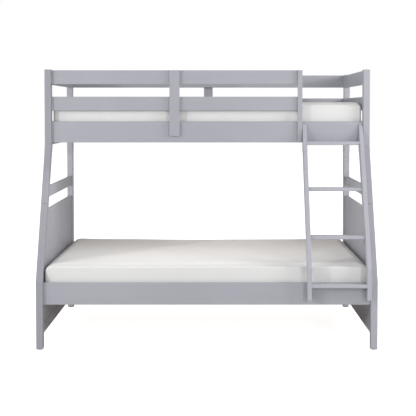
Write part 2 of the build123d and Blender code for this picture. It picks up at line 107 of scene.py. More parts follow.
# ---------------------------------------------------------------------------------- node tools
class Signal:
    """A number that varies over a surface, which Python arithmetic turns into Math nodes."""

    def __init__(self, graph: "Graph", socket: bpy.types.NodeSocket) -> None:
        """Wrap an output socket of a graph."""
        self.graph = graph
        self.socket = socket

    def _math(self, operation: str, *operands: "Signal | float") -> "Signal":
        """Add one Math node.

        Args:
            operation: The Math node's operation.
            operands: Its inputs in order.

        Returns:
            The node's result.
        """
        node = self.graph.add("ShaderNodeMath", {"operation": operation}, dict(enumerate(operands)))
        return Signal(self.graph, node.outputs[0])

    def __add__(self, other: "Signal | float") -> "Signal":
        """Return self + other."""
        return self._math("ADD", self, other)

    def __radd__(self, other: float) -> "Signal":
        """Return other + self."""
        return self._math("ADD", other, self)

    def __sub__(self, other: "Signal | float") -> "Signal":
        """Return self - other."""
        return self._math("SUBTRACT", self, other)

    def __rsub__(self, other: float) -> "Signal":
        """Return other - self."""
        return self._math("SUBTRACT", other, self)

    def __mul__(self, other: "Signal | float") -> "Signal":
        """Return self * other."""
        return self._math("MULTIPLY", self, other)

    def __rmul__(self, other: float) -> "Signal":
        """Return other * self."""
        return self._math("MULTIPLY", other, self)

    def __truediv__(self, other: "Signal | float") -> "Signal":
        """Return self / other."""
        return self._math("DIVIDE", self, other)

    def __rtruediv__(self, other: float) -> "Signal":
        """Return other / self."""
        return self._math("DIVIDE", other, self)

    def __pow__(self, other: "Signal | float") -> "Signal":
        """Return self to the power of other."""
        return self._math("POWER", self, other)

    def __rpow__(self, other: float) -> "Signal":
        """Return other to the power of self."""
        return self._math("POWER", other, self)

    def __abs__(self) -> "Signal":
        """Return the absolute value."""
        return self._math("ABSOLUTE", self)

    def floor(self) -> "Signal":
        """Return the whole number below."""
        return self._math("FLOOR", self)

    def sine(self) -> "Signal":
        """Return the sine."""
        return self._math("SINE", self)

    def smooth(self, low: float, high: float) -> "Signal":
        """Return 0 below low, 1 above high and a smooth step between.

        Args:
            low: Value where the step starts.
            high: Value where the step ends.

        Returns:
            The stepped signal.
        """
        settings = {"interpolation_type": "SMOOTHSTEP"}
        sockets = {"Value": self, "From Min": low, "From Max": high, "To Min": 0.0, "To Max": 1.0}
        node = self.graph.add("ShaderNodeMapRange", settings, sockets)
        return Signal(self.graph, node.outputs[0])


def feed(tree: bpy.types.NodeTree, socket: bpy.types.NodeSocket, value: Any) -> None:
    """Link a socket to a signal or to another socket, or set its value.

    Args:
        tree: The tree that holds the socket.
        socket: The input to feed.
        value: A signal, an output socket or a plain value; a colour has three parts.
    """
    if isinstance(value, Signal):
        value = value.socket
    if isinstance(value, bpy.types.NodeSocket):
        tree.links.new(value, socket)
    elif socket.type == "RGBA":
        socket.default_value = (*value, 1.0)
    else:
        socket.default_value = value


def add_node(tree: bpy.types.NodeTree, kind: str, settings: Mapping[str, Any] | None = None,
             sockets: Mapping[str | int, Any] | None = None) -> bpy.types.Node:
    """Add any node to a tree.

    Args:
        tree: The tree to add it to.
        kind: The node's type name.
        settings: Its properties, set first.
        sockets: Values or links for its inputs, by name or by number.

    Returns:
        The node.
    """
    node = tree.nodes.new(kind)
    for name, value in (settings or {}).items():
        setattr(node, name, value)
    for key, value in (sockets or {}).items():
        feed(tree, node.inputs[key], value)
    return node


class Graph:
    """A material's node tree, with its Principled surface."""

    def __init__(self, name: str) -> None:
        """Start an empty material of that name."""
        self.material = bpy.data.materials.new(name)
        self.material.use_nodes = True
        self.tree = self.material.node_tree
        self.tree.nodes.clear()
        self.shader = self.add("ShaderNodeBsdfPrincipled")
        self.add("ShaderNodeOutputMaterial", {}, {"Surface": self.shader.outputs[0]})

    def add(self, kind: str, settings: Mapping[str, Any] | None = None,
            sockets: Mapping[str | int, Any] | None = None) -> bpy.types.Node:
        """Add any node to the material, as add_node does."""
        return add_node(self.tree, kind, settings, sockets)

    def place(self, scale: Colour = (1.0, 1.0, 1.0)) -> bpy.types.NodeSocket:
        """Return Object coordinates, stretched by scale."""
        coordinates = self.add("ShaderNodeTexCoord")
        mapping = self.add("ShaderNodeMapping", {},
                           {"Vector": coordinates.outputs["Object"], "Scale": scale})
        return mapping.outputs[0]

    def axis(self, name: str) -> Signal:
        """Return one Object coordinate: x, y or z."""
        split = self.add("ShaderNodeSeparateXYZ", {}, {0: self.place()})
        return Signal(self, split.outputs[name.upper()])

    def noise(self, scale: Colour | float, detail: float = 3.0, roughness: float = 0.5,
              distortion: float = 0.0) -> Signal:
        """Return a noise in 0..1.

        Args:
            scale: Cycles per metre, one number or one each for X, Y and Z.
            detail: Octaves.
            roughness: Weight of the finer octaves.
            distortion: How much the pattern is warped.

        Returns:
            The noise.
        """
        if isinstance(scale, float):
            scale = (scale, scale, scale)
        sockets = {"Vector": self.place(scale), "Scale": 1.0, "Detail": detail,
                   "Roughness": roughness, "Distortion": distortion}
        return Signal(self, self.add("ShaderNodeTexNoise", {}, sockets).outputs[0])

    def blend(self, share: Signal | float, first: Any, second: Any) -> bpy.types.NodeSocket:
        """Return a colour between first and second, by share."""
        mix = self.add("ShaderNodeMix", {"data_type": "RGBA"}, {0: share, 6: first, 7: second})
        return mix.outputs[2]

    def bump(self, height: Signal, depth: float) -> None:
        """Raise the surface by height times depth, in metres."""
        node = self.add("ShaderNodeBump", {},
                        {"Height": height, "Distance": depth, "Strength": 1.0})
        feed(self.tree, self.shader.inputs["Normal"], node.outputs[0])

    def surface(self, **sockets: Any) -> bpy.types.Material:
        """Set the Principled shader's inputs, with spaces written as underscores.

        Args:
            sockets: Value or link for each input.

        Returns:
            The finished material.
        """
        for name, value in sockets.items():
            feed(self.tree, self.shader.inputs[name.replace("_", " ")], value)
        return self.material


def grain_scale(grain: Grain, along: float, across: float) -> Colour:
    """Return noise scales that stretch a pattern along the grain.

    Args:
        grain: The way the grain runs.
        along: Cycles per metre along it.
        across: Cycles per metre across it.

    Returns:
        One scale for each axis.
    """
    return tuple(along if name == grain.value else across for name in "xyz")


def scaled(colour: Colour, share: float) -> Colour:
    """Return a colour with each part times share."""
    return tuple(share * part for part in colour)


# ---------------------------------------------------------------------------------- finishes
@dataclass(frozen=True)
class SprayedPaint:
    """Satin grey paint over close-grained boards, with the grain just showing through.

    A stretch is cycles per metre along and across the grain.
    """

    colour: Colour = (0.395, 0.398, 0.440)
    shade: Colour = (0.362, 0.365, 0.405)
    pore_colour: Colour = (0.25, 0.255, 0.285)
    roughness: float = 0.42
    relief: float = 0.00012
    patch_scale: float = 2.2
    peel_scale: float = 340.0
    stroke_stretch: tuple[float, float] = (5.0, 210.0)
    figure_stretch: tuple[float, float] = (1.6, 38.0)
    pore_stretch: tuple[float, float] = (22.0, 900.0)

    def make(self, name: str, grain: Grain, painted_light: PaintedLight) -> bpy.types.Material:
        """Make the paint for boards whose grain runs one way.

        Args:
            name: Name of the material.
            grain: The way the grain runs.
            painted_light: How much the paint is darkened or lightened as painted shade or painted
                light.

        Returns:
            The material.
        """
        graph = Graph(name)
        patches = graph.noise(self.patch_scale, detail=2.0)
        strokes = graph.noise(grain_scale(grain, *self.stroke_stretch), detail=5.0, roughness=0.6)
        figure = graph.noise(grain_scale(grain, *self.figure_stretch), detail=4.0, distortion=0.6)
        pores = graph.noise(grain_scale(grain, *self.pore_stretch), detail=2.0).smooth(0.60, 0.78)
        peel = graph.noise(self.peel_scale, detail=2.0)
        tone = (patches * 0.55 + figure * 0.30 + strokes * 0.15).smooth(0.30, 0.72)
        # Both tones are scaled by the painted light or painted shade of these boards.
        skin = graph.blend(tone, scaled(self.shade, painted_light.value), scaled(self.colour, painted_light.value))
        skin = graph.blend(pores * 0.10, skin, self.pore_colour)
        graph.bump(strokes * 0.45 + figure * 0.25 + peel * 0.22 - pores * 0.30, self.relief)
        return graph.surface(Base_Color=skin,
                             Roughness=self.roughness + strokes * 0.08 - peel * 0.05,
                             Specular_IOR_Level=0.45, Coat_Weight=0.12, Coat_Roughness=0.28)


@dataclass(frozen=True)
class PlanedPine:
    """Unpainted planed softwood for slats and cleats, each board a little different.

    A stretch is cycles per metre along and across the grain.
    """

    light: Colour = (0.74, 0.56, 0.36)
    dark: Colour = (0.52, 0.33, 0.17)
    knot: Colour = (0.20, 0.10, 0.045)
    relief: float = 0.00018
    board_pitch: float = 0.152
    rings: float = 46.0
    ring_shift: float = 9.0
    figure_stretch: tuple[float, float] = (0.9, 16.0)
    fibre_stretch: tuple[float, float] = (14.0, 620.0)
    knot_stretch: tuple[float, float] = (2.2, 7.0)

    def make(self, name: str, grain: Grain, spread: str) -> bpy.types.Material:
        """Make the wood.

        Args:
            name: Name of the material.
            grain: The way the grain runs.
            spread: Axis along which one board follows another.

        Returns:
            The material.
        """
        graph = Graph(name)
        board = (graph.axis(spread) / self.board_pitch + 0.5).floor()
        pick = graph.add("ShaderNodeTexWhiteNoise", {"noise_dimensions": "1D"}, {"W": board})
        chance = Signal(graph, pick.outputs[0])
        figure = graph.noise(grain_scale(grain, *self.figure_stretch), distortion=0.8)
        rings = ((figure * self.rings + chance * self.ring_shift).sine() * 0.5 + 0.5) ** 1.6
        fibre = graph.noise(grain_scale(grain, *self.fibre_stretch), detail=4.0)
        cells = graph.add("ShaderNodeTexVoronoi", {},
                          {"Vector": graph.place(grain_scale(grain, *self.knot_stretch)),
                           "Scale": 1.0})
        knots = 1.0 - Signal(graph, cells.outputs["Distance"]).smooth(0.05, 0.16)
        tone = rings * 0.55 + fibre * 0.25 + chance * 0.30 - 0.08
        wood = graph.blend(tone, self.light, self.dark)
        wood = graph.blend(knots * 0.8, wood, self.knot)
        graph.bump(fibre * 0.7 + rings * 0.3, self.relief)
        return graph.surface(Base_Color=wood, Roughness=0.62 + fibre * 0.14,
                             Specular_IOR_Level=0.35)


@dataclass(frozen=True)
class ZincPlate:
    """Bright zinc on small steel fasteners, dulled in patches."""

    bright: Colour = (0.66, 0.67, 0.69)
    dull: Colour = (0.44, 0.44, 0.45)
    relief: float = 0.00002
    bloom_scale: float = 180.0
    scratch_scale: Colour = (2500.0, 500.0, 500.0)

    def make(self, name: str) -> bpy.types.Material:
        """Make the plate.

        Args:
            name: Name of the material.

        Returns:
            The material.
        """
        graph = Graph(name)
        bloom = graph.noise(self.bloom_scale, detail=4.0)
        scratches = graph.noise(self.scratch_scale, detail=2.0)
        colour = graph.blend(bloom.smooth(0.35, 0.7), self.bright, self.dull)
        graph.bump(scratches, self.relief)
        return graph.surface(Base_Color=colour, Metallic=1.0, Roughness=0.28 + bloom * 0.22)


@dataclass(frozen=True)
class GlidePlastic:
    """Dark moulded plastic under the legs, scuffed by the floor."""

    colour: Colour = (0.022, 0.022, 0.024)
    scuff: Colour = (0.10, 0.10, 0.10)
    relief: float = 0.00005
    speckle_scale: float = 1400.0
    scuff_scale: Colour = (90.0, 260.0, 90.0)

    def make(self, name: str) -> bpy.types.Material:
        """Make the plastic.

        Args:
            name: Name of the material.

        Returns:
            The material.
        """
        graph = Graph(name)
        speckle = graph.noise(self.speckle_scale, detail=2.0)
        scuffs = graph.noise(self.scuff_scale, detail=4.0).smooth(0.55, 0.75)
        graph.bump(speckle, self.relief)
        colour = graph.blend(scuffs * 0.6, self.colour, self.scuff)
        return graph.surface(Base_Color=colour, Roughness=0.48 + scuffs * 0.2)


@dataclass(frozen=True)
class MattressCloth:
    """White knitted ticking, or the woven tape that binds its edges."""

    colour: Colour = (0.77, 0.765, 0.758)
    shade: Colour = (0.72, 0.714, 0.707)
    stitch_pitch: float = 0.0032
    tape_fineness: float = 1.7
    relief: float = 0.00045
    fuzz_scale: float = 1900.0
    drape_scale: Colour = (5.0, 7.0, 6.0)
    wear_scale: float = 1.3

    def make(self, name: str, weave: Weave) -> bpy.types.Material:
        """Make the cloth.

        Args:
            name: Name of the material.
            weave: Its stitch pattern.

        Returns:
            The material.
        """
        graph = Graph(name)
        turn = FULL_TURN / self.stitch_pitch
        x, y, z = (graph.axis(letter) for letter in "xyz")
        normal = graph.add("ShaderNodeSeparateXYZ", {},
                           {0: graph.add("ShaderNodeNewGeometry").outputs["Normal"]})
        level = abs(Signal(graph, normal.outputs["Z"])).smooth(0.45, 0.75)
        if weave is Weave.KNIT:
            flat = (x * turn).sine() * (y * turn).sine()
            upright = ((x + y) * turn).sine() * (z * turn).sine()
        else:
            turn *= self.tape_fineness
            flat = ((x + y) * turn).sine()
            upright = ((x + y + z) * turn).sine()
        loops = (level * flat + (1.0 - level) * upright) * 0.5 + 0.5
        fuzz = graph.noise(self.fuzz_scale, detail=2.0)
        drape = graph.noise(self.drape_scale)
        wear = graph.noise(self.wear_scale, detail=2.0)
        tone = loops * 0.25 + fuzz * 0.15 + wear * 0.60
        colour = graph.blend(tone.smooth(0.2, 0.8), self.shade, self.colour)
        graph.bump(loops * 0.5 + fuzz * 0.5 + drape * 5.0, self.relief)
        return graph.surface(Base_Color=colour, Roughness=0.88 - loops * 0.08,
                             Specular_IOR_Level=0.25, Sheen_Weight=0.18, Sheen_Roughness=0.5)


@dataclass(frozen=True)
class SewingThread:
    """Twisted polyester thread of the edge stitches."""

    colour: Colour = (0.86, 0.855, 0.84)
    shade_share: float = 0.88
    twist_rate: float = 9000.0
    relief: float = 0.00008

    def make(self, name: str) -> bpy.types.Material:
        """Make the thread.

        Args:
            name: Name of the material.

        Returns:
            The material.
        """
        graph = Graph(name)
        ply = (graph.axis("x") + graph.axis("y") + graph.axis("z")) * self.twist_rate
        twist = ply.sine() * 0.5 + 0.5
        colour = graph.blend(twist, scaled(self.colour, self.shade_share), self.colour)
        graph.bump(twist, self.relief)
        return graph.surface(Base_Color=colour, Roughness=0.55 + twist * 0.1)


# ---------------------------------------------------------------------------------- mesh tools
def dress(thing: bpy.types.Object, material: bpy.types.Material) -> None:
    """Give an object one material all over."""
    thing.data.materials.clear()
    thing.data.materials.append(material)


def link_mesh(name: str, mesh: bpy.types.Mesh) -> bpy.types.Object:
    """Put a mesh into the scene.

    Args:
        name: Name of the new object.
        mesh: Its mesh.

    Returns:
        The object.
    """
    thing = bpy.data.objects.new(name, mesh)
    bpy.context.scene.collection.objects.link(thing)
    return thing


def mesh_from(work: bmesh.types.BMesh, name: str) -> bpy.types.Mesh:
    """Turn a finished bmesh into a mesh, and free it.

    Args:
        work: The bmesh.
        name: Name of the mesh.

    Returns:
        The mesh.
    """
    mesh = bpy.data.meshes.new(name)
    work.to_mesh(mesh)
    work.free()
    return mesh


def shade_smooth(mesh: bpy.types.Mesh) -> None:
    """Shade every face of a mesh smoothly."""
    mesh.polygons.foreach_set("use_smooth", [True] * len(mesh.polygons))
    mesh.update()


def read_points(mesh: bpy.types.Mesh) -> np.ndarray:
    """Return a mesh's vertices as rows of x, y, z."""
    points = np.empty(len(mesh.vertices) * 3)
    mesh.vertices.foreach_get("co", points)
    return points.reshape(-1, 3)


def write_points(mesh: bpy.types.Mesh, points: np.ndarray) -> None:
    """Move a mesh's vertices to rows of x, y, z."""
    mesh.vertices.foreach_set("co", points.astype(np.float32).ravel())
    mesh.update()


def baked_copy(thing: bpy.types.Object) -> bpy.types.Mesh:
    """Return an object's evaluated mesh."""
    graph = bpy.context.evaluated_depsgraph_get()
    return bpy.data.meshes.new_from_object(thing.evaluated_get(graph), depsgraph=graph)


class NodeTool:
    """A Geometry Nodes tree with named inputs, built step by step."""

    def __init__(self, name: str, sizes: Iterable[str]) -> None:
        """Start a tree.

        Args:
            name: Name of the tree.
            sizes: Names of its number inputs; one named Material comes after them.
        """
        self.tree = bpy.data.node_groups.new(name, "GeometryNodeTree")
        interface = self.tree.interface
        interface.new_socket("Geometry", in_out="INPUT", socket_type="NodeSocketGeometry")
        kinds = {**{label: "NodeSocketFloat" for label in sizes}, "Material": "NodeSocketMaterial"}
        self.identifiers = {
            label: interface.new_socket(label, in_out="INPUT", socket_type=kind).identifier
            for label, kind in kinds.items()}
        interface.new_socket("Geometry", in_out="OUTPUT", socket_type="NodeSocketGeometry")
        self.entry = self.add("NodeGroupInput")
        self.exit = self.add("NodeGroupOutput")

    def add(self, kind: str, settings: Mapping[str, Any] | None = None,
            sockets: Mapping[str | int, Any] | None = None) -> bpy.types.Node:
        """Add any node to the tree, as add_node does."""
        return add_node(self.tree, kind, settings, sockets)

    def finish(self, geometry: bpy.types.NodeSocket) -> None:
        """Realize the instances, give them the Material input and close the tree."""
        real = self.add("GeometryNodeRealizeInstances", {}, {"Geometry": geometry})
        dressed = self.add("GeometryNodeSetMaterial", {},
                           {"Geometry": real.outputs[0],
                            "Material": self.entry.outputs["Material"]})
        self.tree.links.new(dressed.outputs[0], self.exit.inputs[0])

    def apply(self, thing: bpy.types.Object, values: Mapping[str, Any]) -> bpy.types.Mesh:
        """Run the tree on an object.

        Args:
            thing: The object, whose geometry goes in.
            values: Values of the named inputs.

        Returns:
            The result as a plain mesh.
        """
        modifier = thing.modifiers.new(self.tree.name, "NODES")
        modifier.node_group = self.tree
        for label, value in values.items():
            modifier[self.identifiers[label]] = value
        result = baked_copy(thing)
        thing.modifiers.remove(modifier)
        return result


# ---------------------------------------------------------------------------------- painted frame
@dataclass
class PaintedFrame:
    """All the painted boards: posts, rails, end frames, guards and the ladder."""

    upright_words: tuple[str, ...] = ("post", "guard_slat", "upright", "stile", "end_panel")
    across_words: tuple[str, ...] = ("end_rail", "cross_rail", "panel_top_rail",
                                     "panel_bottom_rail")
    # The left front posts get darker paint as painted shade; the rear posts, ladder and right guard
    # get lighter paint as painted light.
    painted_shade_words: tuple[str, ...] = ("left_front_post",)
    painted_light_words: tuple[str, ...] = ("rear_post", "ladder", "right_guard")
    paint: SprayedPaint = field(default_factory=SprayedPaint)

    def grain_of(self, node: str) -> Grain:
        """Choose the way the grain runs in one board.

        Args:
            node: Name of the board.

        Returns:
            The grain.
        """
        if any(word in node for word in self.upright_words):
            return Grain.UPRIGHT
        if any(word in node for word in self.across_words):
            return Grain.ACROSS_BED
        return Grain.ALONG_BED

    def painted_light_of(self, node: str) -> PaintedLight:
        """Choose the painted light or painted shade on one board.

        Args:
            node: Name of the board.

        Returns:
            The painted light or painted shade, as a scale of the paint.
        """
        if any(word in node for word in self.painted_shade_words):
            return PaintedLight.PAINTED_SHADE
        if any(word in node for word in self.painted_light_words):
            return PaintedLight.PAINTED_LIGHT
        return PaintedLight.MAIN

    def dress_boards(self, boards: Pieces) -> None:
        """Paint every board, with the grain along its length, darker or lighter on some boards as
        painted shade or painted light.

        Args:
            boards: The boards by name.
        """
        coats: dict[tuple[Grain, PaintedLight], bpy.types.Material] = {}
        for node, board in boards.items():
            grain, painted_light = self.grain_of(node), self.painted_light_of(node)
            if (grain, painted_light) not in coats:
                name = f"grey_paint_{grain.name}_{painted_light.name}".lower()
                coats[grain, painted_light] = self.paint.make(name, grain, painted_light)
            dress(board, coats[grain, painted_light])
            LOG.info("%s painted, grain %s, batch %s", node, grain.name, painted_light.name)


@dataclass
class BedBase:
    """Unpainted slats and cleats under both mattresses."""

    pine: PlanedPine = field(default_factory=PlanedPine)

    def dress_wood(self, boards: Pieces) -> None:
        """Give the slats and the cleats their planed wood.

        Args:
            boards: The slats and cleats by name.
        """
        slat_wood = self.pine.make("planed_pine_slats", Grain.ACROSS_BED, "x")
        cleat_wood = self.pine.make("planed_pine_cleats", Grain.ALONG_BED, "y")
        for node, board in boards.items():
            dress(board, slat_wood if node.endswith("slats") else cleat_wood)
            LOG.info("%s left as planed wood", node)


@dataclass
class Hardware:
    """Bolts, nuts, screws and pins, and the glides under the legs."""

    zinc: ZincPlate = field(default_factory=ZincPlate)
    plastic: GlidePlastic = field(default_factory=GlidePlastic)

    def dress_fasteners(self, fasteners: Pieces) -> None:
        """Plate the fasteners.

        Args:
            fasteners: The fasteners by name.
        """
        plate = self.zinc.make("zinc_plate")
        for node, fastener in fasteners.items():
            dress(fastener, plate)
            LOG.info("%s zinc plated", node)

    def dress_glides(self, glides: Pieces) -> None:
        """Give the glides their plastic.

        Args:
            glides: The glides by name.
        """
        plastic = self.plastic.make("glide_plastic")
        for node, glide in glides.items():
            dress(glide, plastic)
            LOG.info("%s in dark plastic", node)


# ---------------------------------------------------------------------------------- mattresses
@dataclass(frozen=True)
class CoverCloth:
    """How the mattress cover behaves in the cloth simulation."""

    pressure: float = 4.0
    frames: int = 20
    quality: int = 4
    mass: float = 0.5
    stiffness: float = 12.0
    bending: float = 2.0

    def hang_on(self, pad: bpy.types.Object, pinned: str) -> bpy.types.Modifier:
        """Put the cloth modifier on a pad.

        Args:
            pad: The relaxed pad.
            pinned: Vertex group that stays in place.

        Returns:
            The modifier.
        """
        cloth = pad.modifiers.new("swell", "CLOTH")
        settings = cloth.settings
        settings.use_pressure = True
        settings.uniform_pressure_force = self.pressure
        settings.vertex_group_mass = pinned
        settings.quality = self.quality
        settings.mass = self.mass
        settings.tension_stiffness = settings.compression_stiffness = self.stiffness
        settings.bending_stiffness = self.bending
        settings.effector_weights.gravity = 0.0
        cloth.collision_settings.use_collision = False
        cloth.point_cache.frame_start, cloth.point_cache.frame_end = 1, self.frames
        return cloth


@dataclass
class Mattress:
    """A foam mattress in a knitted cover, with taped and stitched edges.

    Sizes are in metres. The stitches' lift and row distance are shares of the tape's thickness
    and width; a lift below 0 is inward from the seam line.
    """

    node: str
    body: str
    low: Vector
    high: Vector
    crown: float = 0.007
    end_reach: float = 0.007
    corner_radius: float = 0.017
    edge_radius: float = 0.015
    end_run: float = 0.045
    end_drop: float = 0.024
    coarse_step: float = 0.020
    fine_step: float = 0.005
    side_growth: float = 0.0025
    grip_share: float = 0.2
    settle: float = 0.0012
    tape_width: float = 0.006
    tape_thickness: float = 0.0012
    stitch_length: float = 0.0045
    stitch_pitch: float = 0.0085
    stitch_radius: float = 0.00045
    stitch_row_share: float = 0.3
    stitch_lift_share: float = -0.5
    seam_drop: float = 0.018
    bottom_seam_rise: float = 0.030
    probe_start: float = 0.1
    cover: CoverCloth = field(default_factory=CoverCloth)

    @property
    def centre(self) -> Vector:
        """Middle of the space the mattress fills."""
        return (self.low + self.high) / 2

    @property
    def half(self) -> np.ndarray:
        """Half sizes of the relaxed pad, before it swells."""
        size = (self.high - self.low) / 2
        return np.array((size.x + self.end_reach, size.y, size.z - self.crown / 2))

    def steps(self, half: float) -> np.ndarray:
        """Return grid lines from -half to half, closer together near both ends."""
        edge = self.edge_radius * 2.0
        rim = np.linspace(0.0, edge, round(edge / self.fine_step) + 1)
        field_count = max(2, round((2 * half - 2 * edge) / self.coarse_step) + 1)
        middle = np.linspace(-half + edge, half - edge, field_count)
        return np.unique(np.round(np.concatenate((rim - half, middle, half - rim)), 6))

    def rounded(self, points: np.ndarray) -> np.ndarray:
        """Push the points of a box on to the rounded slab.

        Args:
            points: Rows of x, y, z on the box, about its middle.

        Returns:
            Rows of x, y, z on the slab.
        """
        half, radius = self.half, self.edge_radius
        bend = self.corner_radius
        core = np.clip(points[:, :2], -(half[:2] - bend), half[:2] - bend)
        away = points[:, :2] - core
        reach = np.linalg.norm(away, axis=1, keepdims=True)
        inner = core + away * np.minimum(1.0, (bend - radius) / np.maximum(reach, TINY))
        level = np.clip(points[:, 2:], -(half[2] - radius), half[2] - radius)
        anchor = np.hstack((inner, level))
        out = points - anchor
        length = np.linalg.norm(out, axis=1, keepdims=True)
        slab = anchor + out * (radius / np.maximum(length, TINY))
        return self.with_soft_ends(slab)

    def with_soft_ends(self, slab: np.ndarray) -> np.ndarray:
        """Round the slab's two ends off further than its long sides.

        Args:
            slab: Rows of x, y, z about the slab's middle; z is changed in place.

        Returns:
            The same rows.
        """
        near_end = np.clip((np.abs(slab[:, 0]) - self.half[0]) / self.end_run + 1.0, 0.0, 1.0)
        droop = self.end_drop * (1.0 - np.sqrt(1.0 - near_end ** 2))
        slab[:, 2] -= droop * slab[:, 2] / self.half[2]
        return slab

    def relaxed_pad(self) -> bpy.types.Mesh:
        """Build the closed slab that the simulation starts from."""
        half = self.half
        lines = [self.steps(size) for size in half]
        work = bmesh.new()
        for axis in range(3):
            first, second = [other for other in range(3) if other != axis]
            for side in (-1.0, 1.0):
                rows = []
                for a in lines[first]:
                    row = []
                    for b in lines[second]:
                        spot = np.zeros(3)
                        spot[axis], spot[first], spot[second] = side * half[axis], a, b
                        row.append(work.verts.new(spot))
                    rows.append(row)
                for above, below in zip(rows, rows[1:]):
                    for left, right, low_left, low_right in zip(above, above[1:], below, below[1:]):
                        work.faces.new((left, right, low_right, low_left))
        bmesh.ops.remove_doubles(work, verts=work.verts, dist=WELD_GAP)
        bmesh.ops.recalc_face_normals(work, faces=work.faces)
        mesh = mesh_from(work, self.node + "_pad")
        lift = self.centre - Vector((0.0, 0.0, self.crown / 2))
        write_points(mesh, self.rounded(read_points(mesh)) + np.array(lift))
        return mesh

    def swell(self, pad: bpy.types.Object) -> None:
        """Inflate the pad as cloth, then cap how far each point has moved.

        Args:
            pad: The relaxed pad; its mesh is changed in place.
        """
        start = read_points(pad.data)
        underside = start[:, 2] < start[:, 2].min() + self.edge_radius * self.grip_share
        grip = pad.vertex_groups.new(name="underside")
        grip.add(np.flatnonzero(underside).tolist(), 1.0, "REPLACE")
        cloth = self.cover.hang_on(pad, grip.name)
        scene = bpy.context.scene
        for number in range(1, self.cover.frames + 1):
            scene.frame_set(number)
        swollen = baked_copy(pad)
        travel = read_points(swollen) - start
        pad.modifiers.remove(cloth)
        bpy.data.meshes.remove(swollen)
        scene.frame_set(1)
        cap = np.array((self.side_growth, self.side_growth, self.crown))
        write_points(pad.data, start + cap * np.tanh(travel / cap))

    def height_share(self, points: np.ndarray) -> np.ndarray:
        """Tell how near the top each point lies.

        Args:
            points: Rows of x, y, z.

        Returns:
            0 from the middle down, up to 1 at the top.
        """
        return np.clip((points[:, 2] - self.centre.z) / self.half[2], 0.0, 1.0)

    def settle_cover(self, pad: bpy.types.Object) -> None:
        """Give the cover the faint waves of stuffed foam.

        Args:
            pad: The swollen pad; its mesh is changed in place.
        """
        points = read_points(pad.data)
        x, y = points[:, 0], points[:, 1]
        long_waves = np.sin(x * 9.1 + 1.7 * np.sin(y * 6.3))
        cross_waves = np.sin(y * 11.7 + 1.3 * np.sin(x * 7.9 + 1.1))
        waves = long_waves + cross_waves
        points[:, 2] += self.settle * self.height_share(points) * waves / 2.0
        write_points(pad.data, points)

    def make_pad(self, cloth: bpy.types.Material) -> bpy.types.Object:
        """Build, swell and finish the mattress.

        Args:
            cloth: Material of the cover.

        Returns:
            The mattress, in place of its plain slab.
        """
        pad = link_mesh(self.node + "_pad", self.relaxed_pad())
        self.swell(pad)
        self.settle_cover(pad)
        smooth = pad.modifiers.new("smooth", "SUBSURF")
        smooth.levels = smooth.render_levels = 1
        finished = baked_copy(pad)
        pad.modifiers.remove(smooth)
        pad.data = finished
        pad.vertex_groups.clear()
        shade_smooth(finished)
        dress(pad, cloth)
        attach(pad, self.body)
        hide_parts(self.node)
        LOG.info("%s: %d faces", pad.name, len(finished.polygons))
        return pad

    def seam_path(self, pad: bpy.types.Object, height: float) -> list[Vector]:
        """Follow the mattress's sides round at one height.

        Args:
            pad: The finished mattress.
            height: Height of the line above the floor.

        Returns:
            Points on the cover, evenly spaced, round a closed line.
        """
        tree = BVHTree.FromObject(pad, bpy.context.evaluated_depsgraph_get())
        half, bend = self.half, self.corner_radius
        straight = [2 * (half[0] - bend), 2 * (half[1] - bend)]
        arc = bend * math.pi / 2
        lengths = [straight[0], arc, straight[1], arc] * 2
        total = sum(lengths)
        count = round(total / (self.stitch_pitch * 2)) * 2
        corners = [(half[0], -half[1]), (half[0], half[1]), (-half[0], half[1]),
                   (-half[0], -half[1])]
        level = Vector((self.centre.x, self.centre.y, height))
        path = []
        for index in range(count):
            distance = total * index / count
            for leg, length in enumerate(lengths):
                if distance <= length:
                    break
                distance -= length
            side, on_arc = divmod(leg, 2)
            heading = side * math.pi / 2
            along = np.array((math.cos(heading), math.sin(heading)))
            outward = np.array((math.sin(heading), -math.cos(heading)))
            pivot = np.array(corners[side]) - bend * (along + outward)
            if on_arc:
                turn = distance / bend
                normal = outward * math.cos(turn) + along * math.sin(turn)
                spot = pivot + bend * normal
            else:
                normal = outward
                spot = pivot + bend * outward - along * (length - distance)
            start = Vector((*(spot + normal * self.probe_start), 0.0)) + level
            inward = Vector((*-normal, 0.0))
            hit = tree.ray_cast(start, inward)[0]
            path.append(hit if hit is not None else start + inward * self.probe_start)
        return path

    def seam_line(self, pad: bpy.types.Object) -> bpy.types.Object:
        """Draw both seams as closed lines on the cover.

        Args:
            pad: The finished mattress.

        Returns:
            A helper object that holds the lines.
        """
        heights = (self.high.z - self.crown - self.seam_drop, self.low.z + self.bottom_seam_rise)
        work = bmesh.new()
        for height in heights:
            ring = [work.verts.new(spot) for spot in self.seam_path(pad, height)]
            for start, end in zip(ring, ring[1:] + ring[:1]):
                work.edges.new((start, end))
        name = self.node + "_seam_line"
        return link_mesh(name, mesh_from(work, name))

    def make_seams(self, pad: bpy.types.Object, tape: bpy.types.Material,
                   thread: bpy.types.Material) -> None:
        """Bind the cover's two edges with stitched tape.

        Args:
            pad: The finished mattress.
            tape: Material of the tape.
            thread: Material of the stitches.
        """
        line = self.seam_line(pad)
        tape_sizes = {"Width": self.tape_width, "Thickness": self.tape_thickness}
        stitch_sizes = {"Length": self.stitch_length, "Pitch": self.stitch_pitch,
                        "Radius": self.stitch_radius,
                        "Lift": self.tape_thickness * self.stitch_lift_share,
                        "Spread": self.tape_width * self.stitch_row_share}
        for suffix, tool, material, sizes in (
            ("tape", tape_tool(tape_sizes), tape, tape_sizes),
            ("stitches", stitch_tool(stitch_sizes), thread, stitch_sizes),
        ):
            result = tool.apply(line, {**sizes, "Material": material})
            piece = link_mesh(f"{self.node}_{suffix}", result)
            shade_smooth(result)
            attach(piece, self.body)
            LOG.info("%s: %d faces", piece.name, len(result.polygons))
        bpy.data.objects.remove(line)


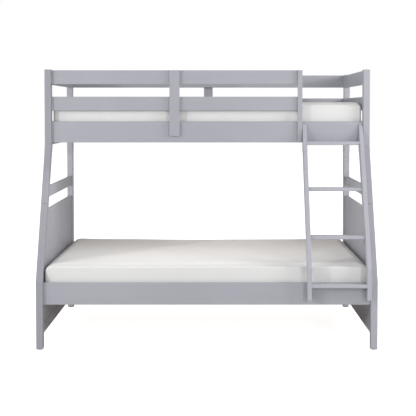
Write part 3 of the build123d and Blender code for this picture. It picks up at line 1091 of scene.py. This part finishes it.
def tape_tool(sizes: Iterable[str]) -> NodeTool:
    """Build the tree that lays a flat rounded tape along a line.

    Args:
        sizes: Names of its inputs: Width and Thickness.

    Returns:
        The tree.
    """
    tool = NodeTool("seam_tape", sizes)
    size = tool.entry.outputs
    curve = tool.add("GeometryNodeMeshToCurve", {}, {"Mesh": size["Geometry"]})
    section = tool.add("GeometryNodeCurvePrimitiveCircle", {"mode": "RADIUS"},
                       {"Resolution": 10, "Radius": 0.5})
    shape = tool.add("ShaderNodeCombineXYZ", {},
                     {"X": size["Thickness"], "Y": size["Width"], "Z": 1.0})
    flat = tool.add("GeometryNodeTransform", {},
                    {"Geometry": section.outputs[0], "Scale": shape.outputs[0]})
    swept = tool.add("GeometryNodeCurveToMesh", {},
                     {"Curve": curve.outputs[0], "Profile Curve": flat.outputs[0],
                      "Fill Caps": True})
    tool.finish(swept.outputs[0])
    return tool


def stitch_tool(sizes: Iterable[str]) -> NodeTool:
    """Build the tree that sets two rows of stitches along a line.

    Args:
        sizes: Names of its inputs: Length, Pitch, Radius, Lift and Spread.

    Returns:
        The tree.
    """
    tool = NodeTool("seam_stitches", sizes)
    size = tool.entry.outputs
    curve = tool.add("GeometryNodeMeshToCurve", {}, {"Mesh": size["Geometry"]})
    places = tool.add("GeometryNodeCurveToPoints", {"mode": "LENGTH"},
                      {"Curve": curve.outputs[0], "Length": size["Pitch"]})
    stitch = tool.add("GeometryNodeMeshCylinder", {},
                      {"Vertices": 6, "Radius": size["Radius"], "Depth": size["Length"]})
    rows = []
    for side in (-1.0, 1.0):
        offset = tool.add("ShaderNodeMath", {"operation": "MULTIPLY"}, {0: size["Spread"], 1: side})
        shift = tool.add("ShaderNodeCombineXYZ", {},
                         {"X": size["Lift"], "Y": offset.outputs[0]})
        moved = tool.add("GeometryNodeTransform", {},
                         {"Geometry": stitch.outputs[0], "Translation": shift.outputs[0]})
        row = tool.add("GeometryNodeInstanceOnPoints", {},
                       {"Points": places.outputs["Points"], "Instance": moved.outputs[0],
                        "Rotation": places.outputs["Rotation"]})
        rows.append(row)
    both = tool.add("GeometryNodeJoinGeometry")
    for row in rows:
        tool.tree.links.new(row.outputs[0], both.inputs[0])
    tool.finish(both.outputs[0])
    return tool


# ---------------------------------------------------------------------------------- studio
@dataclass(frozen=True)
class Softbox:
    """One rectangular area light that looks at a point; sizes in metres, power in watts."""

    name: str
    place: Vector
    target: Vector
    width: float
    height: float
    power: float

    def hang(self) -> None:
        """Put the light into the scene, out of the camera's sight."""
        lamp = bpy.data.lights.new(self.name, "AREA")
        lamp.shape = "RECTANGLE"
        lamp.size, lamp.size_y = self.width, self.height
        lamp.energy = self.power
        holder = bpy.data.objects.new(self.name, lamp)
        holder.location = self.place
        holder.rotation_euler = (self.target - self.place).to_track_quat("-Z", "Y").to_euler()
        holder.visible_camera = False
        bpy.context.scene.collection.objects.link(holder)
        LOG.info("light %s, %.0f W", self.name, self.power)


@dataclass
class Studio:
    """Pale floor, soft light and the camera."""

    floor_half: float = 30.0
    floor_colour: Colour = (0.80, 0.80, 0.80)
    floor_glow: float = 0.88
    sky_fill: float = 0.48
    lens: float = 95.33
    sensor: float = 36.0
    camera_side: float = 0.0508
    camera_height: float = 1.4095
    camera_distance: float = 6.42
    camera_pitch: float = math.radians(2.42)
    camera_reach: float = 100.0
    shift_x: float = -0.0179
    shift_y: float = -0.1232

    def lay_floor(self) -> None:
        """Lay the floor at height 0, out to the horizon."""
        work = bmesh.new()
        bmesh.ops.create_grid(work, x_segments=1, y_segments=1, size=self.floor_half)
        floor = link_mesh("studio_floor", mesh_from(work, "studio_floor"))
        graph = Graph("studio_floor")
        seen = Signal(graph, graph.add("ShaderNodeLightPath").outputs["Is Camera Ray"])
        dress(floor, graph.surface(Base_Color=self.floor_colour, Roughness=0.9,
                                   Specular_IOR_Level=0.1, Emission_Color=WHITE,
                                   Emission_Strength=seen * self.floor_glow))

    def light_sky(self) -> None:
        """Surround the bed with white that is seen at full strength and lights more softly."""
        world = bpy.data.worlds.new("studio_sky")
        bpy.context.scene.world = world
        world.use_nodes = True
        tree = world.node_tree
        tree.nodes.clear()
        ray = add_node(tree, "ShaderNodeLightPath")
        strength = add_node(tree, "ShaderNodeMapRange", {},
                            {"Value": ray.outputs["Is Camera Ray"], "To Min": self.sky_fill,
                             "To Max": 1.0})
        sky = add_node(tree, "ShaderNodeBackground", {},
                       {"Color": WHITE, "Strength": strength.outputs[0]})
        add_node(tree, "ShaderNodeOutputWorld", {}, {"Surface": sky.outputs[0]})

    def hang_lights(self, middle: Vector) -> None:
        """Hang two small keys, soft lights round the bed, and two lights between the bunks.

        Args:
            middle: Middle of the bed.
        """
        end_panels = middle + Vector((0.0, 0.5, 0.2))
        under_bunk = middle + Vector((0.0, -0.20, 0.30))
        under_rail = middle + Vector((-0.32, -0.58, 0.22))
        boxes = (
            Softbox("key_left", Vector((-5.4, -5.0, 2.6)), middle,
                    width=0.3, height=0.3, power=134.0),
            Softbox("fill_right", Vector((2.9, -6.6, 2.0)), middle,
                    width=0.3, height=0.3, power=80.0),
            Softbox("above_front", Vector((-0.6, -3.6, 5.0)), middle,
                    width=1.6, height=1.6, power=8.0),
            Softbox("side_right", Vector((3.4, -1.6, 2.3)), end_panels,
                    width=1.4, height=1.4, power=56.0),
            Softbox("side_left", Vector((-3.6, -1.9, 2.2)), end_panels,
                    width=1.6, height=1.6, power=26.0),
            Softbox("between_bunks", under_bunk, under_bunk + Vector((0.0, 0.6, -0.8)),
                    width=1.85, height=0.6, power=3.3),
            Softbox("along_front", under_rail, under_rail + Vector((0.0, 0.2, -0.98)),
                    width=1.2, height=0.08, power=1.0),
        )
        for softbox in boxes:
            softbox.hang()

    def set_camera(self, front: float) -> None:
        """Stand the camera in front of the bed, looking slightly down.

        Args:
            front: Y of the lower posts' front face.
        """
        lens = bpy.data.cameras.new("camera")
        lens.lens = self.lens
        lens.sensor_width = self.sensor
        lens.shift_x, lens.shift_y = self.shift_x, self.shift_y
        lens.clip_end = self.camera_reach
        camera = bpy.data.objects.new("camera", lens)
        camera.location = (self.camera_side, front - self.camera_distance, self.camera_height)
        camera.rotation_euler = (math.pi / 2 - self.camera_pitch, 0.0, 0.0)
        bpy.context.scene.collection.objects.link(camera)
        bpy.context.scene.camera = camera

    def build(self, front: float, middle: Vector) -> None:
        """Build the whole studio round the bed.

        Args:
            front: Y of the lower posts' front face.
            middle: Middle of the bed.
        """
        bpy.context.scene.view_settings.view_transform = "Standard"
        self.lay_floor()
        self.light_sky()
        self.hang_lights(middle)
        self.set_camera(front)


# ---------------------------------------------------------------------------------- the bed
def nodes_in_slot(slot: str) -> dict[str, bpy.types.Object]:
    """Return the model's own pieces that share one material slot, by name."""
    rows = frame["record"]["subparts"]
    names = [row["node"] for row in rows if row["material_slot"] == slot]
    return {name: frame["nodes"][name] for name in names}


def body_of_node(node: str) -> str:
    """Return the body that a piece of the model belongs to."""
    bodies: Mapping[str, Iterable[str]] = frame["record"]["behaviour"]["bodies"]
    return next(body for body, members in bodies.items() if node in members)


def make_mattresses() -> None:
    """Build both mattresses with their seams."""
    cloth = MattressCloth()
    cover = cloth.make("mattress_knit", Weave.KNIT)
    tape = cloth.make("mattress_tape", Weave.TAPE)
    thread = SewingThread().make("seam_thread")
    for node in nodes_in_slot("mattress_fabric"):
        mattress = Mattress(node, body_of_node(node), *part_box(node))
        pad = mattress.make_pad(cover)
        mattress.make_seams(pad, tape, thread)


def main() -> None:
    """Dress the model, add the soft pieces and build the studio."""
    logging.basicConfig(level=logging.INFO, format="%(name)s: %(message)s")
    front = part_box("lower_left_front_post")[0].y
    Studio().build(front, (CAD_BOX[0] + CAD_BOX[1]) / 2)
    PaintedFrame().dress_boards(nodes_in_slot("painted_wood"))
    BedBase().dress_wood(nodes_in_slot("slat_wood"))
    hardware = Hardware()
    hardware.dress_fasteners(nodes_in_slot("zinc_steel"))
    hardware.dress_glides(nodes_in_slot("glide_plastic"))
    make_mattresses()


if __name__ == "__main__":
    main()
